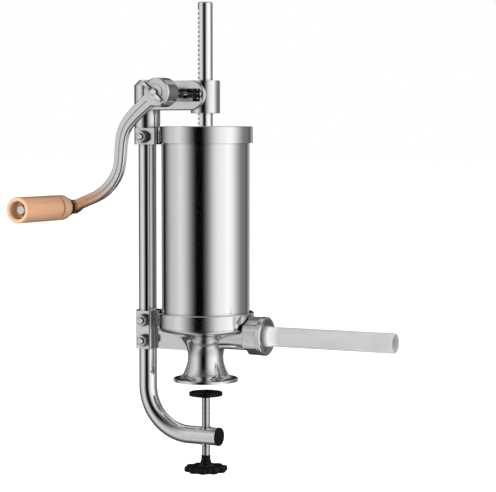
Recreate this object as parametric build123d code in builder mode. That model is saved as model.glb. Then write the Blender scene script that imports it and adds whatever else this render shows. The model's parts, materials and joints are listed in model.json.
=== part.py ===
"""Clamp-on vertical sausage stuffer: cast head and base on a tube post, steel cylinder, rack-driven piston.

Millimetres. The origin is the centre of the trumpet foot's underside, +Z runs up the cylinder axis,
+X points from the post to the spout and -Y is the crank side.
"""

import os
from math import atan2, cos, pi, radians, sin, sqrt, tan

from build123d import *

os.makedirs("parts", exist_ok=True)

# post and J-shaped clamp tube
POST_X = -81.0
TUBE_R = 11.0
TUBE_WALL = 1.5
JOIN_Z = 60.0
POST_TOP = 350.0
BEND_R = 58.0
CLAMP_Z = -68.0
CLAMP_END_X = 17.0
FIT = 0.02
RUN = 0.05

# cross bolts that hold the tubes
BOLT_X = -77.0
BOLT_R = 4.0
BOLT_HOLE_R = 4.2
HEX_ACROSS = 13.0
BOLT_PAD_Y = 17.0
BASE_BOLT_Z = (47.5, 72.5)
HEAD_BOLT_Z = 298.0

# base casting
CUP_R = 59.0
CUP_TOP = 84.6
SEAT_Z = 79.5
SLEEVE_R = 14.5
SLEEVE_Z = (36.8, 83.8)
FOOT_R = 39.6
SPOUT_Z = 58.5
SPOUT_R = 18.0
SPOUT_END = 77.0
SPOUT_BORE_R = 12.0

# cylinder and lid
CYL_R = 53.5
CYL_WALL = 1.0
CYL_TOP = 307.35
LID_R = 57.5
LID_Z = (290.3, 310.4)
LID_HOLE_R = 14.0

# ring nut and stuffing tube
NUT_X = (59.7, 83.6)
NUT_R = 23.4
NUT_BODY_R = 19.4
NUT_COLLAR = 5.6
SCALLOP_R = 26.0
NOZZLE_R = 11.75
NOZZLE_ROOT_R = 12.6
NOZZLE_TIP = 249.0

# head casting and gear housing
HEAD_Z = (288.5, 367.6)
ARM_Z = 348.0
ARM_R = 17.6
ARM_END_X = -9.0
ARM_Y = (-20.0, 17.8)
GUIDE_R = 17.8
GUIDE_Z = (326.4, 365.7)
SLOT_FLOOR = -12.5
SLOT_TALL = 15.4
CLIP_Y = (ARM_Y[1] + 5.0, ARM_Y[1] + 6.1)
CAVITY_R = 14.6
CAVITY_Y = -7.5
COVER_SCREWS = ((-40, 11), (-40, -11), (-1, 12.5), (-1, -12.5))

# rack and pinion
MODULE = 1.75
TEETH = 14
PRESSURE = radians(25)
PITCH_R = MODULE * TEETH / 2
PITCH = pi * MODULE
RACK_R = 9.0
RACK_TIP_X = -8.0
RACK_Z = (161.0, 460.5)
RACK_GAPS = (-27, 18)
GEAR_X = -18.5
GEAR_Z = 350.0
GEAR_W = 14.0
SHAFT_R = 5.5
SHAFT_FLAT_Y = -62.0
BUSH_R = 7.2

# piston
PISTON_Z = (149.0, 161.0)
PISTON_R = 51.9
SEAL_GROOVE_R = 49.0

# crank and grip
CRANK_Y = (-89.5, -80.5)
HUB_R = 17.2
NECK_END_Y = ARM_Y[0] - 0.6
GRIP_X = GEAR_X - 117.0
GRIP_Z = GEAR_Z - 136.5
GRIP_Y = (-206.6, -106.0)
GRIP_R = 15.0
GRIP_HOLE_R = 10.0
GRIP_HEAD_Y = (GRIP_Y[0] + 8.0, GRIP_Y[0] + 12.8)
FERRULE_Y = (-94.5, -105.8)
WING_TURN = radians(42)

# clamp screw, pad and knob
SCREW_R = 5.0
INSERT_R = 6.6
PAD_Z = (-18.3, -13.7)
PAD_R = 20.5
KNOB_Z = (-112.0, -105.0)


def at_y(y):
    """Plane across the Y axis at y; extrusions from it run toward -Y."""
    return Plane.XZ.offset(-y)


def bar_y(x, z, radius, y0, y1, mode=Mode.ADD):
    """Round bar along Y from y0 up to y1."""
    with BuildSketch(at_y(y1)) as section:
        with Locations((x, z)):
            Circle(radius)
    extrude(section.sketch, amount=y1 - y0, mode=mode)


def hex_y(x, z, across, y0, y1):
    """Hexagonal bar along Y from y0 up to y1."""
    with BuildSketch(at_y(y1)) as section:
        with Locations((x, z)):
            RegularPolygon(across / 2, 6, major_radius=False, rotation=30)
    extrude(section.sketch, amount=y1 - y0)


def bar_z(x, y, radius, z0, z1, mode=Mode.ADD):
    """Round bar along Z from z0 up to z1."""
    with BuildSketch(Plane.XY.offset(z0)) as section:
        with Locations((x, y)):
            Circle(radius)
    extrude(section.sketch, amount=z1 - z0, mode=mode)


def bar_x(z, radius, x0, x1, mode=Mode.ADD):
    """Round bar along X from x0 up to x1 in the plane Y = 0."""
    with BuildSketch(Plane.YZ.offset(x0)) as section:
        with Locations((0, z)):
            Circle(radius)
    extrude(section.sketch, amount=x1 - x0, mode=mode)


# ---------------------------------------------------------------- clamp tube
with BuildPart() as clamp_tube:
    with BuildLine(Plane.XZ) as bend:
        drop = Line((POST_X, JOIN_Z - 0.2), (POST_X, CLAMP_Z + BEND_R))
        turn = RadiusArc(drop @ 1, (POST_X + BEND_R, CLAMP_Z), -BEND_R)
        Line(turn @ 1, (CLAMP_END_X, CLAMP_Z))
    with BuildSketch(Plane.XY.offset(JOIN_Z - 0.2)):
        with Locations((POST_X, 0)):
            Circle(TUBE_R)
            Circle(TUBE_R - TUBE_WALL, mode=Mode.SUBTRACT)
    sweep(path=bend.wire())
    bar_y(BOLT_X, BASE_BOLT_Z[0], BOLT_HOLE_R, -20, 20, Mode.SUBTRACT)
    bar_z(0, 0, INSERT_R, -90, -50, Mode.SUBTRACT)

clamp_tube.part.label = "clamp_tube"
export_step(clamp_tube.part, "parts/clamp_tube.step")

# ---------------------------------------------------------------- upper post
with BuildPart() as upper_post:
    bar_z(POST_X, 0, TUBE_R, JOIN_Z + 0.2, POST_TOP)
    bar_z(POST_X, 0, TUBE_R - TUBE_WALL, JOIN_Z, POST_TOP + 1, Mode.SUBTRACT)
    bar_y(BOLT_X, BASE_BOLT_Z[1], BOLT_HOLE_R, -20, 20, Mode.SUBTRACT)
    bar_y(BOLT_X, HEAD_BOLT_Z, BOLT_HOLE_R, -20, 20, Mode.SUBTRACT)

upper_post.part.label = "upper_post"
export_step(upper_post.part, "parts/upper_post.step")

# ---------------------------------------------------------------- plug in the clamp tube's end
with BuildPart() as tube_end_plug:
    bar_x(CLAMP_Z, TUBE_R - TUBE_WALL - FIT, CLAMP_END_X - 8, CLAMP_END_X + 0.02)
    bar_x(CLAMP_Z, TUBE_R + 0.3, CLAMP_END_X + 0.02, CLAMP_END_X + 3)
    fillet(tube_end_plug.edges().sort_by(Axis.X)[-1], radius=1.2)

tube_end_plug.part.label = "tube_end_plug"
export_step(tube_end_plug.part, "parts/tube_end_plug.step")

# ---------------------------------------------------------------- base casting
with BuildPart() as base_casting:
    # cup, funnel and trumpet foot as one turned body
    with BuildSketch(Plane.XZ):
        with BuildLine():
            foot = Polyline((0, 0), (FOOT_R, 0), (FOOT_R, 3.0), (38.6, 3.8))
            flare = Spline(
                foot @ 1,
                (33.0, 4.9),
                (28.6, 7.6),
                (25.6, 13.0),
                (23.3, 19.0),
                (21.6, 29.5),
                (23.1, 39.0),
                (28.0, 47.5),
                (37.0, 55.8),
                (46.0, 59.4),
                (54.0, 61.4),
            )
            corner = Spline(flare @ 1, (57.6, 63.6), (CUP_R, 68.5), tangents=(flare % 1, (0, 1)))
            Polyline(corner @ 1, (CUP_R, CUP_TOP - 1), (CUP_R - 1, CUP_TOP), (0, CUP_TOP), (0, 0))
        make_face()
    revolve(axis=Axis.Z)
    # web to the post sleeve
    with BuildSketch(Plane.XZ.offset(-6)):
        with BuildLine():
            Polyline(
                (POST_X, SLEEVE_Z[0]),
                (POST_X, SLEEVE_Z[1]),
                (-50, SLEEVE_Z[1]),
                (-50, 62),
                (-26, 47),
                (-22, SLEEVE_Z[0]),
                (POST_X, SLEEVE_Z[0]),
            )
        make_face()
    extrude(amount=12)
    # post sleeve with its bolt block
    bar_z(POST_X, 0, SLEEVE_R, SLEEVE_Z[0], SLEEVE_Z[1])
    with BuildSketch(Plane.XY.offset(SLEEVE_Z[0])):
        with Locations((-78.5, 0)):
            RectangleRounded(21, 2 * BOLT_PAD_Y, 2.5)
    extrude(amount=SLEEVE_Z[1] - SLEEVE_Z[0])
    # spout
    bar_x(SPOUT_Z, SPOUT_R, 20, SPOUT_END)
    # bowl with the cylinder seat
    with BuildSketch(Plane.XZ):
        with BuildLine():
            bowl = Spline(
                (0, 46),
                (14, 46.4),
                (24, 51.5),
                (32, 58.2),
                (42, 62.6),
                (CYL_R - CYL_WALL, 65.5),
                tangents=((1, 0), (4, 1)),
            )
            Polyline(
                bowl @ 1,
                (CYL_R - CYL_WALL, SEAT_Z),
                (CYL_R + RUN, SEAT_Z),
                (CYL_R + RUN, CUP_TOP + 1),
                (0, CUP_TOP + 1),
                (0, 46),
            )
        make_face()
    revolve(axis=Axis.Z, mode=Mode.SUBTRACT)
    # hollow underside of the trumpet
    with BuildSketch(Plane.XZ):
        with BuildLine():
            under = Spline(
                (31, 0),
                (24.0, 6.4),
                (19.2, 17.0),
                (17.2, 27.0),
                (13.0, 35.6),
                (0, 38),
                tangents=((-3, 1), (-1, 0)),
            )
            Polyline(under @ 1, (0, -1), (31, -1), (31, 0))
        make_face()
    revolve(axis=Axis.Z, mode=Mode.SUBTRACT)
    # spout bore, post bore and bolt holes
    bar_x(SPOUT_Z, SPOUT_BORE_R, 0, SPOUT_END + 1, Mode.SUBTRACT)
    bar_z(POST_X, 0, TUBE_R + FIT, 30, 90, Mode.SUBTRACT)
    for bolt_z in BASE_BOLT_Z:
        bar_y(BOLT_X, bolt_z, BOLT_HOLE_R, -30, 30, Mode.SUBTRACT)

base_casting.part.label = "base_casting"
export_step(base_casting.part, "parts/base_casting.step")

# ---------------------------------------------------------------- head casting
with BuildPart() as head_casting:
    # post sleeve with a domed top
    bar_z(POST_X, 0, 16, HEAD_Z[0], HEAD_Z[1])
    chamfer(head_casting.edges().group_by(Axis.Z)[-1], length=6.5)
    # clamp block at the sleeve's foot
    with BuildSketch(Plane.XY.offset(HEAD_Z[0])):
        with Locations((-74.5, 0)):
            RectangleRounded(31, 2 * BOLT_PAD_Y, 3)
    extrude(amount=20)
    # arm with its round end
    with BuildSketch(at_y(ARM_Y[1])):
        with BuildLine():
            sides = Polyline(
                (ARM_END_X, ARM_Z + ARM_R),
                (POST_X + 10, ARM_Z + ARM_R),
                (POST_X + 10, ARM_Z - ARM_R),
                (ARM_END_X, ARM_Z - ARM_R),
            )
            ThreePointArc(sides @ 1, (ARM_END_X + ARM_R, ARM_Z), sides @ 0)
        make_face()
    extrude(amount=ARM_Y[1] - ARM_Y[0])
    fillet(head_casting.faces().sort_by(Axis.Y)[0].edges(), radius=1.5)
    # rack guide sleeve
    bar_z(0, 0, GUIDE_R, GUIDE_Z[0], GUIDE_Z[1])
    # recess along the front face
    with BuildSketch(at_y(SLOT_FLOOR)):
        with Locations((ARM_END_X, ARM_Z)):
            Circle(14)
        with Locations((ARM_END_X - 21, ARM_Z)):
            Rectangle(42, SLOT_TALL)
        with Locations((ARM_END_X, ARM_Z)):
            Rectangle(60, SLOT_TALL, mode=Mode.INTERSECT)
    extrude(amount=10, mode=Mode.SUBTRACT)
    # window from the recess through to the rack
    with BuildSketch(at_y(-4)):
        with Locations((ARM_END_X, ARM_Z)):
            Circle(13)
        with Locations((-2, ARM_Z)):
            Rectangle(17.4, SLOT_TALL, mode=Mode.INTERSECT)
    extrude(amount=12, mode=Mode.SUBTRACT)
    # rack bore, gear cavity, shaft bush seat
    bar_z(0, 0, RACK_R + RUN, GUIDE_Z[0] - 1, GUIDE_Z[1] + 2, Mode.SUBTRACT)
    bar_y(GEAR_X, GEAR_Z, CAVITY_R, CAVITY_Y, 30, Mode.SUBTRACT)
    bar_y(GEAR_X, GEAR_Z, SHAFT_R + 0.3, SLOT_FLOOR - 1, 0, Mode.SUBTRACT)
    bar_y(GEAR_X, GEAR_Z, BUSH_R + FIT, SLOT_FLOOR + 1, 0, Mode.SUBTRACT)
    # blind post bore and clamp bolt hole
    bar_z(POST_X, 0, TUBE_R + FIT, HEAD_Z[0] - 1, POST_TOP + 0.5, Mode.SUBTRACT)
    bar_y(BOLT_X, HEAD_BOLT_Z, BOLT_HOLE_R, -30, 30, Mode.SUBTRACT)
    # tapped holes for the cover
    for cover_x, cover_dz in COVER_SCREWS:
        bar_y(cover_x, GEAR_Z + cover_dz, 1.5 + FIT, 10.5, 30, Mode.SUBTRACT)

head_casting.part.label = "head_casting"
export_step(head_casting.part, "parts/head_casting.step")


# ---------------------------------------------------------------- cross bolts, nuts and washers
def cross_bolt(z):
    """M8 bolt through a sleeve, head on the +Y side."""
    bar_y(BOLT_X, z, BOLT_R, -BOLT_PAD_Y - 11.5, BOLT_PAD_Y + 1.7)
    hex_y(BOLT_X, z, HEX_ACROSS, BOLT_PAD_Y + 1.7, BOLT_PAD_Y + 7)


def cross_nut(z):
    """M8 hexagon nut on the crank side."""
    hex_y(BOLT_X, z, HEX_ACROSS, -BOLT_PAD_Y - 8.2, -BOLT_PAD_Y - 1.7)
    bar_y(BOLT_X, z, BOLT_R + FIT, -40, 0, Mode.SUBTRACT)


def cross_washers(z):
    """One plain washer under the head and one under the nut."""
    bar_y(BOLT_X, z, 8, -BOLT_PAD_Y - 1.65, -BOLT_PAD_Y - 0.02)
    bar_y(BOLT_X, z, 8, BOLT_PAD_Y + 0.02, BOLT_PAD_Y + 1.65)
    bar_y(BOLT_X, z, BOLT_HOLE_R, -30, 30, Mode.SUBTRACT)


with BuildPart() as base_bolts:
    for bolt_z in BASE_BOLT_Z:
        cross_bolt(bolt_z)

base_bolts.part.label = "base_bolts"
export_step(base_bolts.part, "parts/base_bolts.step")

with BuildPart() as base_nuts:
    for bolt_z in BASE_BOLT_Z:
        cross_nut(bolt_z)

base_nuts.part.label = "base_nuts"
export_step(base_nuts.part, "parts/base_nuts.step")

with BuildPart() as base_washers:
    for bolt_z in BASE_BOLT_Z:
        cross_washers(bolt_z)

base_washers.part.label = "base_washers"
export_step(base_washers.part, "parts/base_washers.step")

with BuildPart() as head_bolt:
    cross_bolt(HEAD_BOLT_Z)

head_bolt.part.label = "head_bolt"
export_step(head_bolt.part, "parts/head_bolt.step")

with BuildPart() as head_nut:
    cross_nut(HEAD_BOLT_Z)

head_nut.part.label = "head_nut"
export_step(head_nut.part, "parts/head_nut.step")

with BuildPart() as head_washers:
    cross_washers(HEAD_BOLT_Z)

head_washers.part.label = "head_washers"
export_step(head_washers.part, "parts/head_washers.step")

# ---------------------------------------------------------------- cylinder and lid
with BuildPart() as cylinder:
    bar_z(0, 0, CYL_R, SEAT_Z + 0.05, CYL_TOP)
    bar_z(0, 0, CYL_R - CYL_WALL, SEAT_Z - 1, CYL_TOP + 1, Mode.SUBTRACT)

cylinder.part.label = "cylinder"
export_step(cylinder.part, "parts/cylinder.step")

with BuildPart() as cylinder_lid:
    bar_z(0, 0, LID_R, LID_Z[0], LID_Z[1])
    fillet(cylinder_lid.edges().group_by(Axis.Z)[-1], radius=1.2)
    bar_z(0, 0, CYL_R + RUN, LID_Z[0] - 1, CYL_TOP + 0.05, Mode.SUBTRACT)
    bar_z(0, 0, LID_HOLE_R, LID_Z[0], LID_Z[1] + 1, Mode.SUBTRACT)

cylinder_lid.part.label = "cylinder_lid"
export_step(cylinder_lid.part, "parts/cylinder_lid.step")

# ---------------------------------------------------------------- piston set
with BuildPart() as piston:
    bar_z(0, 0, PISTON_R, PISTON_Z[0], PISTON_Z[1])
    bar_z(0, 0, 15, PISTON_Z[1], PISTON_Z[1] + 7)
    bar_z(0, 0, RACK_R + FIT, PISTON_Z[1], PISTON_Z[1] + 8, Mode.SUBTRACT)
    bar_z(0, 0, BOLT_HOLE_R, PISTON_Z[0] - 1, PISTON_Z[1] + 1, Mode.SUBTRACT)
    # rim groove for the seal
    with BuildSketch(Plane.XY.offset(PISTON_Z[0] + 3)):
        Circle(PISTON_R + 1)
        Circle(SEAL_GROOVE_R, mode=Mode.SUBTRACT)
    extrude(amount=6, mode=Mode.SUBTRACT)

piston.part.label = "piston"
export_step(piston.part, "parts/piston.step")

with BuildPart() as piston_seal:
    bar_z(0, 0, CYL_R - CYL_WALL - RUN, PISTON_Z[0] + 3.02, PISTON_Z[0] + 8.98)
    bar_z(0, 0, SEAL_GROOVE_R + FIT, PISTON_Z[0], PISTON_Z[1], Mode.SUBTRACT)

piston_seal.part.label = "piston_seal"
export_step(piston_seal.part, "parts/piston_seal.step")

with BuildPart() as piston_washer:
    bar_z(0, 0, 9, PISTON_Z[0] - 1.65, PISTON_Z[0] - 0.02)
    bar_z(0, 0, BOLT_HOLE_R, PISTON_Z[0] - 5, PISTON_Z[0], Mode.SUBTRACT)

piston_washer.part.label = "piston_washer"
export_step(piston_washer.part, "parts/piston_washer.step")

with BuildPart() as piston_screw:
    bar_z(0, 0, BOLT_R, PISTON_Z[0] - 1.67, PISTON_Z[1] + 22)
    with BuildSketch(Plane.XY.offset(PISTON_Z[0] - 6.97)):
        RegularPolygon(HEX_ACROSS / 2, 6, major_radius=False)
    extrude(amount=5.3)

piston_screw.part.label = "piston_screw"
export_step(piston_screw.part, "parts/piston_screw.step")

# ---------------------------------------------------------------- rack rod
with BuildPart() as rack_rod:
    bar_z(0, 0, RACK_R, RACK_Z[0], RACK_Z[1])
    fillet(rack_rod.edges().group_by(Axis.Z)[-1], radius=2.5)
    # flat that the teeth stand on
    with BuildSketch(at_y(10)):
        with Locations((RACK_TIP_X - 1, GEAR_Z + PITCH * (RACK_GAPS[0] + RACK_GAPS[1]) / 2)):
            Rectangle(2, PITCH * (RACK_GAPS[1] - RACK_GAPS[0] + 1))
    extrude(amount=20, mode=Mode.SUBTRACT)
    # tooth gaps
    depth = 2.25 * MODULE
    slope = tan(PRESSURE)
    gap = PITCH / 2 + 0.1
    root_x = RACK_TIP_X + depth
    top = gap / 2 + (MODULE + 1.5) * slope
    low = gap / 2 - (depth - MODULE) * slope
    with BuildSketch(at_y(10)):
        for index in range(RACK_GAPS[0], RACK_GAPS[1] + 1):
            z = GEAR_Z + PITCH * index
            with BuildLine():
                Polyline(
                    (RACK_TIP_X - 1.5, z - top),
                    (root_x, z - low),
                    (root_x, z + low),
                    (RACK_TIP_X - 1.5, z + top),
                    (RACK_TIP_X - 1.5, z - top),
                )
            make_face()
    extrude(amount=20, mode=Mode.SUBTRACT)
    bar_z(0, 0, BOLT_R + FIT, RACK_Z[0] - 1, RACK_Z[0] + 23, Mode.SUBTRACT)

rack_rod.part.label = "rack_rod"
export_step(rack_rod.part, "parts/rack_rod.step")


# ---------------------------------------------------------------- pinion
def pinion_outline():
    """Points around an involute gear with one tooth pointing along +X."""
    base = PITCH_R * cos(PRESSURE)
    tip = PITCH_R + MODULE
    root = PITCH_R - 1.25 * MODULE
    half = (PITCH / 2 - 0.05) / (2 * PITCH_R)
    roll = sqrt(PITCH_R**2 / base**2 - 1)
    inv = roll - atan2(roll, 1)
    points = []
    for tooth in range(TEETH):
        middle = 2 * pi * tooth / TEETH
        flank = [(root, half + inv)]
        for step in range(6):
            radius = base + (tip - base) * step / 5
            t = sqrt(max(radius**2 / base**2 - 1, 0))
            flank.append((radius, half + inv - (t - atan2(t, 1))))
        points += [(r * cos(middle - a), r * sin(middle - a)) for r, a in flank]
        points += [(r * cos(middle + a), r * sin(middle + a)) for r, a in reversed(flank)]
    return points


with BuildPart() as pinion_gear:
    with BuildSketch(at_y(GEAR_W / 2)):
        with BuildLine():
            rim = [(GEAR_X + x, GEAR_Z + z) for x, z in pinion_outline()]
            Polyline(*rim, close=True)
        make_face()
        with Locations((GEAR_X, GEAR_Z)):
            Circle(SHAFT_R + FIT, mode=Mode.SUBTRACT)
        with Locations((GEAR_X, GEAR_Z + SHAFT_R)):
            Rectangle(4 + 2 * FIT, 3.2 + 2 * FIT, mode=Mode.SUBTRACT)
    extrude(amount=GEAR_W)

pinion_gear.part.label = "pinion_gear"
export_step(pinion_gear.part, "parts/pinion_gear.step")

with BuildPart() as gear_key:
    with BuildSketch(at_y(GEAR_W / 2 - 0.1)):
        with Locations((GEAR_X, GEAR_Z + SHAFT_R)):
            Rectangle(4, 3.2)
    extrude(amount=GEAR_W - 0.2)

gear_key.part.label = "gear_key"
export_step(gear_key.part, "parts/gear_key.step")

# ---------------------------------------------------------------- drive shaft
with BuildPart() as drive_shaft:
    bar_y(GEAR_X, GEAR_Z, SHAFT_R, CRANK_Y[0] + 1, CLIP_Y[1] + 2.6)
    chamfer(drive_shaft.edges().group_by(Axis.Y)[-1], length=0.8)
    # key seat
    with BuildSketch(at_y(GEAR_W / 2 - 0.05)):
        with Locations((GEAR_X, GEAR_Z + SHAFT_R)):
            Rectangle(4 + FIT, 3.2 + 2 * FIT)
    extrude(amount=GEAR_W - 0.1, mode=Mode.SUBTRACT)
    # flat for the crank hub
    with BuildSketch(at_y(SHAFT_FLAT_Y)):
        with Locations((GEAR_X, GEAR_Z + SHAFT_R)):
            Rectangle(20, 3)
    extrude(amount=30, mode=Mode.SUBTRACT)
    # groove for the retaining ring
    with BuildSketch(at_y(CLIP_Y[1] + 0.1)):
        with Locations((GEAR_X, GEAR_Z)):
            Circle(8)
            Circle(SHAFT_R - 1, mode=Mode.SUBTRACT)
    extrude(amount=CLIP_Y[1] - CLIP_Y[0] + 0.2, mode=Mode.SUBTRACT)
    # tapped hole for the wing screw
    bar_y(GEAR_X, GEAR_Z, 3 + RUN, -95, -60, Mode.SUBTRACT)

drive_shaft.part.label = "drive_shaft"
export_step(drive_shaft.part, "parts/drive_shaft.step")

with BuildPart() as shaft_clip:
    with BuildSketch(at_y(CLIP_Y[1])):
        with Locations((GEAR_X, GEAR_Z)):
            Circle(8)
            Circle(SHAFT_R - 1 + FIT, mode=Mode.SUBTRACT)
        with Locations((GEAR_X, GEAR_Z - 6.5)):
            Rectangle(4, 6, mode=Mode.SUBTRACT)
    extrude(amount=CLIP_Y[1] - CLIP_Y[0])

shaft_clip.part.label = "shaft_clip"
export_step(shaft_clip.part, "parts/shaft_clip.step")

# ---------------------------------------------------------------- shaft bushes
with BuildPart() as front_bush:
    bar_y(GEAR_X, GEAR_Z, BUSH_R, SLOT_FLOOR + 1.02, CAVITY_Y - 0.05)
    bar_y(GEAR_X, GEAR_Z, SHAFT_R + RUN, -20, 0, Mode.SUBTRACT)

front_bush.part.label = "front_bush"
export_step(front_bush.part, "parts/front_bush.step")

with BuildPart() as rear_bush:
    bar_y(GEAR_X, GEAR_Z, 8, GEAR_W / 2 + 0.6, ARM_Y[1] + 4.4)
    bar_y(GEAR_X, GEAR_Z, SHAFT_R + RUN, 0, 30, Mode.SUBTRACT)

rear_bush.part.label = "rear_bush"
export_step(rear_bush.part, "parts/rear_bush.step")

# ---------------------------------------------------------------- gear housing cover
with BuildPart() as housing_cover:
    with BuildSketch(at_y(ARM_Y[1] + 4)):
        with Locations((-20.5, ARM_Z)):
            RectangleRounded(49, 34, 6)
    extrude(amount=4 - FIT)
    fillet(housing_cover.faces().sort_by(Axis.Y)[-1].edges(), radius=1)
    bar_y(GEAR_X, GEAR_Z, CAVITY_R - 0.15, GEAR_W / 2 + 1.5, ARM_Y[1] + 2)
    bar_z(0, 0, RACK_R + 1.5, GUIDE_Z[0] - 1, GUIDE_Z[1] + 2, Mode.SUBTRACT)
    bar_y(GEAR_X, GEAR_Z, 8 + FIT, 0, 30, Mode.SUBTRACT)
    for cover_x, cover_dz in COVER_SCREWS:
        bar_y(cover_x, GEAR_Z + cover_dz, 1.7, 10, 30, Mode.SUBTRACT)

housing_cover.part.label = "housing_cover"
export_step(housing_cover.part, "parts/housing_cover.step")

with BuildPart() as cover_screws:
    for cover_x, cover_dz in COVER_SCREWS:
        bar_y(cover_x, GEAR_Z + cover_dz, 1.5, 11, ARM_Y[1] + 4.05)
        bar_y(cover_x, GEAR_Z + cover_dz, 2.8, ARM_Y[1] + 4.05, ARM_Y[1] + 6)

cover_screws.part.label = "cover_screws"
export_step(cover_screws.part, "parts/cover_screws.step")

# ---------------------------------------------------------------- crank arm
ARM_PATH = (
    (0, 0, 19),
    (-12, -10.3, 18),
    (-23.6, -19.8, 17),
    (-34.9, -30, 16),
    (-44.6, -42.7, 15),
    (-49.3, -59.2, 14.5),
    (-50.8, -77, 14),
    (-54.5, -93.9, 14),
    (-63.6, -108.2, 14),
    (-77, -119.6, 13.5),
    (-96, -128.2, 13),
    (-117, -137.5, 13),
)


def arm_side(side, width=None):
    """Points along one side of the swan-neck arm."""
    points = []
    for index, (x, z, w) in enumerate(ARM_PATH):
        before = ARM_PATH[max(index - 1, 0)]
        after = ARM_PATH[min(index + 1, len(ARM_PATH) - 1)]
        dx = after[0] - before[0]
        dz = after[1] - before[1]
        reach = side * (width or w) / 2 / sqrt(dx**2 + dz**2)
        points.append((GEAR_X + x - dz * reach, GEAR_Z + z + dx * reach))
    return points


with BuildPart() as crank_arm:
    with BuildSketch(at_y(CRANK_Y[1])):
        with BuildLine():
            left = Spline(*arm_side(1))
            right = Spline(*arm_side(-1))
            Line(left @ 1, right @ 1)
            Line(left @ 0, right @ 0)
        make_face()
    extrude(amount=CRANK_Y[1] - CRANK_Y[0])
    fillet(crank_arm.edges().filter_by(lambda edge: edge.length > 50), radius=2.5)
    # fine groove along the front face
    with BuildSketch(at_y(CRANK_Y[0] + 0.7)):
        with BuildLine():
            left = Spline(*arm_side(1, 1.6)[1:-1])
            right = Spline(*arm_side(-1, 1.6)[1:-1])
            Line(left @ 1, right @ 1)
            Line(left @ 0, right @ 0)
        make_face()
    extrude(amount=2, mode=Mode.SUBTRACT)
    # hub barrel and tapering neck
    with BuildSketch(Plane.YZ.offset(GEAR_X)):
        with BuildLine():
            Polyline(
                (CRANK_Y[0], GEAR_Z),
                (CRANK_Y[0], GEAR_Z + HUB_R - 1.5),
                (CRANK_Y[0] + 1.5, GEAR_Z + HUB_R),
                (-66, GEAR_Z + HUB_R),
                (-64.5, GEAR_Z + HUB_R - 1.5),
                (-63, GEAR_Z + 12.5),
                (-44, GEAR_Z + 8.6),
                (NECK_END_Y, GEAR_Z + 6.9),
                (NECK_END_Y, GEAR_Z),
                (CRANK_Y[0], GEAR_Z),
            )
        make_face()
    revolve(axis=Axis((GEAR_X, 0, GEAR_Z), (0, 1, 0)))
    # eye for the grip bolt
    bar_y(GRIP_X, GRIP_Z, 8.5, FERRULE_Y[0], CRANK_Y[1])
    bar_y(GRIP_X, GRIP_Z, BOLT_R + FIT, -100, -60, Mode.SUBTRACT)
    # D-shaped shaft bore
    with BuildSketch(at_y(NECK_END_Y + 1)):
        with Locations((GEAR_X, GEAR_Z)):
            Circle(SHAFT_R + FIT)
    extrude(amount=NECK_END_Y + 1 - SHAFT_FLAT_Y + FIT, mode=Mode.SUBTRACT)
    with BuildSketch(at_y(SHAFT_FLAT_Y - FIT)):
        with Locations((GEAR_X, GEAR_Z)):
            Circle(SHAFT_R + FIT)
        with Locations((GEAR_X, GEAR_Z + SHAFT_R)):
            Rectangle(20, 3 - 2 * FIT, mode=Mode.SUBTRACT)
    extrude(amount=30, mode=Mode.SUBTRACT)

crank_arm.part.label = "crank_arm"
export_step(crank_arm.part, "parts/crank_arm.step")

# ---------------------------------------------------------------- wing screw and its washer
with BuildPart() as crank_washer:
    bar_y(GEAR_X, GEAR_Z, 8.5, CRANK_Y[0] - 1.6, CRANK_Y[0] - 0.02)
    bar_y(GEAR_X, GEAR_Z, 3.2, -95, -80, Mode.SUBTRACT)

crank_washer.part.label = "crank_washer"
export_step(crank_washer.part, "parts/crank_washer.step")

with BuildPart() as wing_screw:
    bar_y(GEAR_X, GEAR_Z, 3, CRANK_Y[0] - 2, -68)
    bar_y(GEAR_X, GEAR_Z, 4.0, CRANK_Y[0] - 8.5, CRANK_Y[0] - 1.62)
    chamfer(wing_screw.edges().group_by(Axis.Y)[0], length=0.8)
    wing_plane = Plane(
        origin=(GEAR_X, 0, GEAR_Z),
        x_dir=(cos(WING_TURN), 0, -sin(WING_TURN)),
        z_dir=(sin(WING_TURN), 0, cos(WING_TURN)),
    )
    with BuildSketch(wing_plane.offset(-1.6)):
        for side in (1, -1):
            with BuildLine():
                Spline(
                    (side * 3.0, CRANK_Y[0] - 2.2),
                    (side * 10, CRANK_Y[0] - 2.8),
                    (side * 16.2, CRANK_Y[0] - 4.6),
                    (side * 17.0, CRANK_Y[0] - 8.0),
                    (side * 13.0, CRANK_Y[0] - 9.4),
                    (side * 3.0, CRANK_Y[0] - 7.4),
                )
                Line((side * 3.0, CRANK_Y[0] - 7.4), (side * 3.0, CRANK_Y[0] - 2.2))
            make_face()
    extrude(amount=3.2)

wing_screw.part.label = "wing_screw"
export_step(wing_screw.part, "parts/wing_screw.step")

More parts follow.
